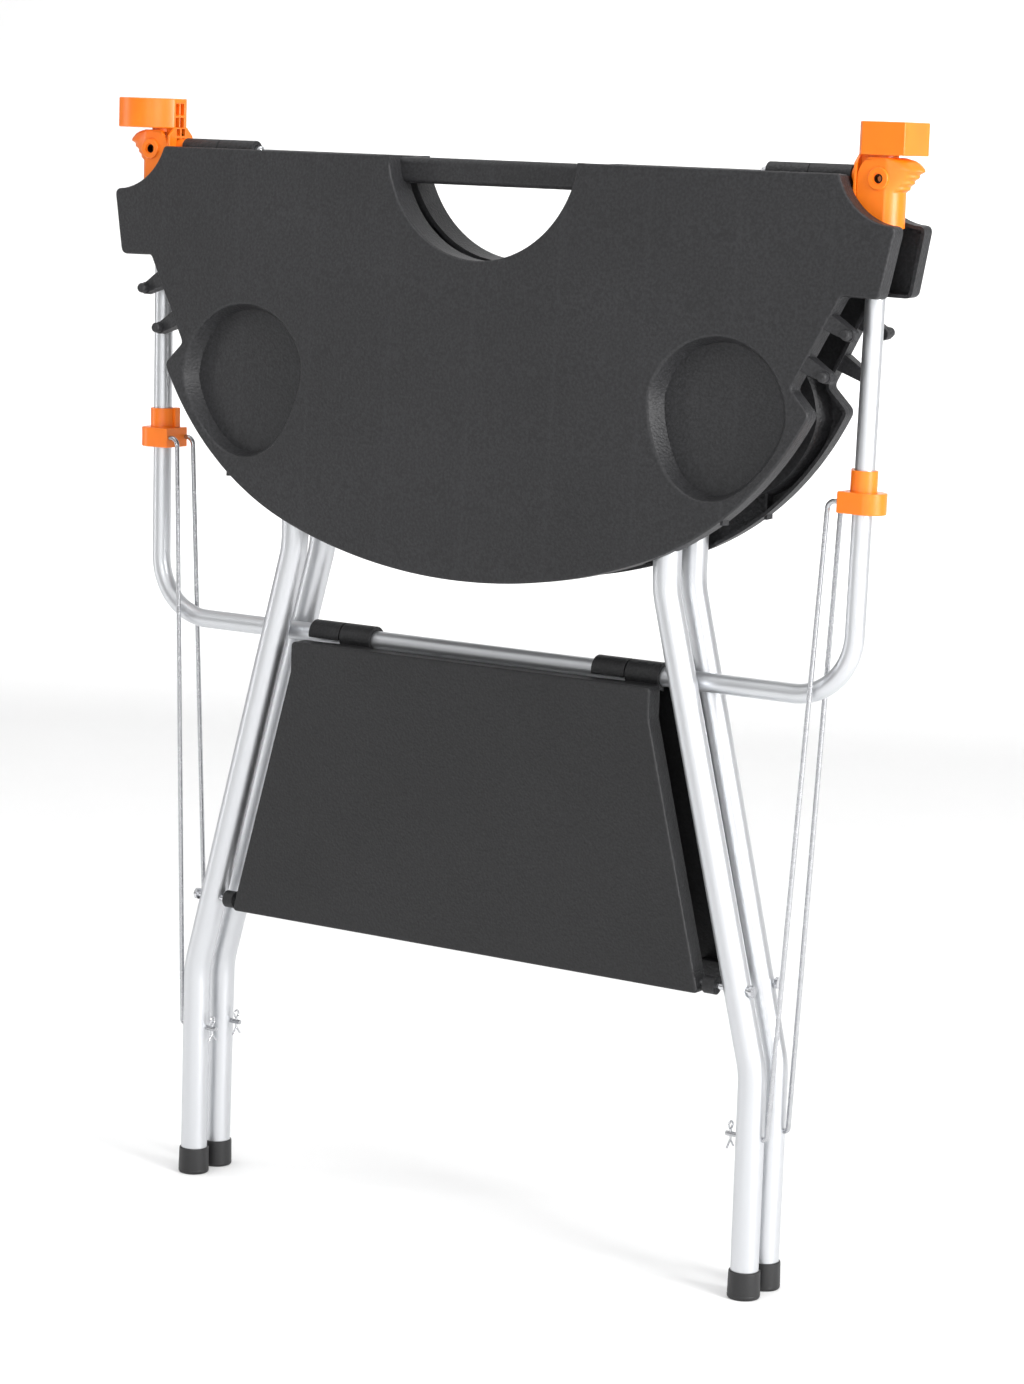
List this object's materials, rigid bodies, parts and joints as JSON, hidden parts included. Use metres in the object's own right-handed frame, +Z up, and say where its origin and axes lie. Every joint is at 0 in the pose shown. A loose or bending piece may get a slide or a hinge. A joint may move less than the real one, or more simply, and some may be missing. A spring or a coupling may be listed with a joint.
{
  "type": "folding sawhorse table",
  "caption": "Folding sawhorse table: two half-round moulded tops that hinge along the middle over two bent-tube legs, a centre frame, a folding shelf and rod braces.",
  "frame": {"origin": "on the floor under the middle of the hinge line, folded and standing", "axes": "+X along the hinge line, +Y to the back, +Z up"},
  "size_m": [0.836, 0.0976, 1.0195],
  "materials": {
    "moulded_plastic": "charcoal blow-moulded polyethylene with a fine leather grain",
    "orange_plastic": "orange injection-moulded nylon, satin",
    "galvanised_tube": "zinc-coated steel tube with a soft sheen",
    "zinc_rod": "zinc-plated drawn steel rod",
    "foot_rubber": "black slip-on foot",
    "pin_steel": "zinc-plated pin",
    "blackened_steel": "black-oxide hollow pin"
  },
  "bodies": {
    "centre_frame": {"centre_frame_tube": "galvanised_tube", "right_end_bracket": "orange_plastic", "left_end_bracket": "orange_plastic", "right_lever_pin": "blackened_steel", "left_lever_pin": "blackened_steel", "right_hinge_pin": "pin_steel", "left_hinge_pin": "pin_steel"},
    "front_half": {"front_table_half": "moulded_plastic", "front_saddle_screws": "pin_steel"},
    "rear_half": {"rear_table_half": "moulded_plastic", "rear_saddle_screws": "pin_steel"},
    "front_leg": {"front_leg_tube": "galvanised_tube", "front_right_foot": "foot_rubber", "front_left_foot": "foot_rubber"},
    "rear_leg": {"rear_leg_tube": "galvanised_tube", "rear_right_foot": "foot_rubber", "rear_left_foot": "foot_rubber"},
    "front_tray": {"front_shelf": "moulded_plastic", "front_shelf_pins": "pin_steel", "front_pin_washers": "moulded_plastic"},
    "rear_tray": {"rear_shelf": "moulded_plastic", "rear_shelf_pins": "pin_steel", "rear_pin_washers": "moulded_plastic"},
    "right_collar": {"right_slide_collar": "orange_plastic"},
    "left_collar": {"left_slide_collar": "orange_plastic"},
    "right_lever": {"right_lock_lever": "orange_plastic"},
    "left_lever": {"left_lock_lever": "orange_plastic"},
    "front_right_rod": {"front_right_brace_rod": "zinc_rod", "front_right_split_pin": "pin_steel"},
    "front_left_rod": {"front_left_brace_rod": "zinc_rod", "front_left_split_pin": "pin_steel"},
    "rear_right_rod": {"rear_right_brace_rod": "zinc_rod", "rear_right_split_pin": "pin_steel"},
    "rear_left_rod": {"rear_left_brace_rod": "zinc_rod", "rear_left_split_pin": "pin_steel"}
  },
  "joints": [
    {"name": "table_fold", "type": "hinge", "parent": "centre_frame", "child": "front_half", "pos_m": [0, 0, 0.975], "axis": [-1, 0, 0], "range_deg": [0, 87.52]},
    {"name": "rear_half_fold", "type": "hinge", "parent": "centre_frame", "child": "rear_half", "pos_m": [0, 0, 0.975], "axis": [1, 0, 0], "range_deg": [0, 87.62]},
    {"name": "front_leg_pivot", "type": "hinge", "parent": "front_half", "child": "front_leg", "pos_m": [0, -0.0228, 0.715], "axis": [-1, 0, 0], "range_deg": [-87.62, 0]},
    {"name": "rear_leg_pivot", "type": "hinge", "parent": "rear_half", "child": "rear_leg", "pos_m": [0, 0.0228, 0.715], "axis": [1, 0, 0], "range_deg": [-87.62, 0]},
    {"name": "front_shelf_pivot", "type": "hinge", "parent": "centre_frame", "child": "front_tray", "pos_m": [0, 0, 0.534], "axis": [-1, 0, 0], "range_deg": [0, 87.62]},
    {"name": "rear_shelf_pivot", "type": "hinge", "parent": "centre_frame", "child": "rear_tray", "pos_m": [0, 0, 0.534], "axis": [1, 0, 0], "range_deg": [0, 87.62]},
    {"name": "right_collar_slide", "type": "slide", "parent": "centre_frame", "child": "right_collar", "axis": [0.0138, 0, 0.9999], "range_m": [0, 0.21567]},
    {"name": "left_collar_slide", "type": "slide", "parent": "centre_frame", "child": "left_collar", "axis": [-0.0138, 0, 0.9999], "range_m": [0, 0.21567]},
    {"name": "front_right_rod_pivot", "type": "hinge", "parent": "front_leg", "child": "front_right_rod", "pos_m": [0.321, -0.01881, 0.144], "axis": [-1, 0, 0], "range_deg": [0, 25.37]},
    {"name": "front_left_rod_pivot", "type": "hinge", "parent": "front_leg", "child": "front_left_rod", "pos_m": [-0.321, -0.01881, 0.144], "axis": [-1, 0, 0], "range_deg": [0, 25.37]},
    {"name": "rear_right_rod_pivot", "type": "hinge", "parent": "rear_leg", "child": "rear_right_rod", "pos_m": [0.321, 0.01881, 0.144], "axis": [1, 0, 0], "range_deg": [0, 25.37]},
    {"name": "rear_left_rod_pivot", "type": "hinge", "parent": "rear_leg", "child": "rear_left_rod", "pos_m": [-0.321, 0.01881, 0.144], "axis": [1, 0, 0], "range_deg": [0, 25.37]},
    {"name": "right_lever_pivot", "type": "hinge", "parent": "centre_frame", "child": "right_lever", "pos_m": [0.3835, 0, 0.9727], "axis": [0, -1, 0], "range_deg": [0, 8], "stiffness_Nm_per_rad": 0.6},
    {"name": "left_lever_pivot", "type": "hinge", "parent": "centre_frame", "child": "left_lever", "pos_m": [-0.3835, 0, 0.9727], "axis": [0, 1, 0], "range_deg": [0, 8], "stiffness_Nm_per_rad": 0.6}
  ],
  "couplings": [
    {"joint": "rear_half_fold", "follows": "table_fold", "ratio": 1},
    {"joint": "front_leg_pivot", "follows": "table_fold", "ratio": -1},
    {"joint": "rear_leg_pivot", "follows": "table_fold", "ratio": -1},
    {"joint": "front_shelf_pivot", "follows": "table_fold", "ratio": 1},
    {"joint": "rear_shelf_pivot", "follows": "table_fold", "ratio": 1},
    {"joint": "right_collar_slide", "follows": "table_fold", "m_per_rad": 0.14086},
    {"joint": "left_collar_slide", "follows": "table_fold", "m_per_rad": 0.14086},
    {"joint": "front_right_rod_pivot", "follows": "table_fold", "ratio": 0.28869},
    {"joint": "front_left_rod_pivot", "follows": "table_fold", "ratio": 0.28869},
    {"joint": "rear_right_rod_pivot", "follows": "table_fold", "ratio": 0.28869},
    {"joint": "rear_left_rod_pivot", "follows": "table_fold", "ratio": 0.28869}
  ]
}
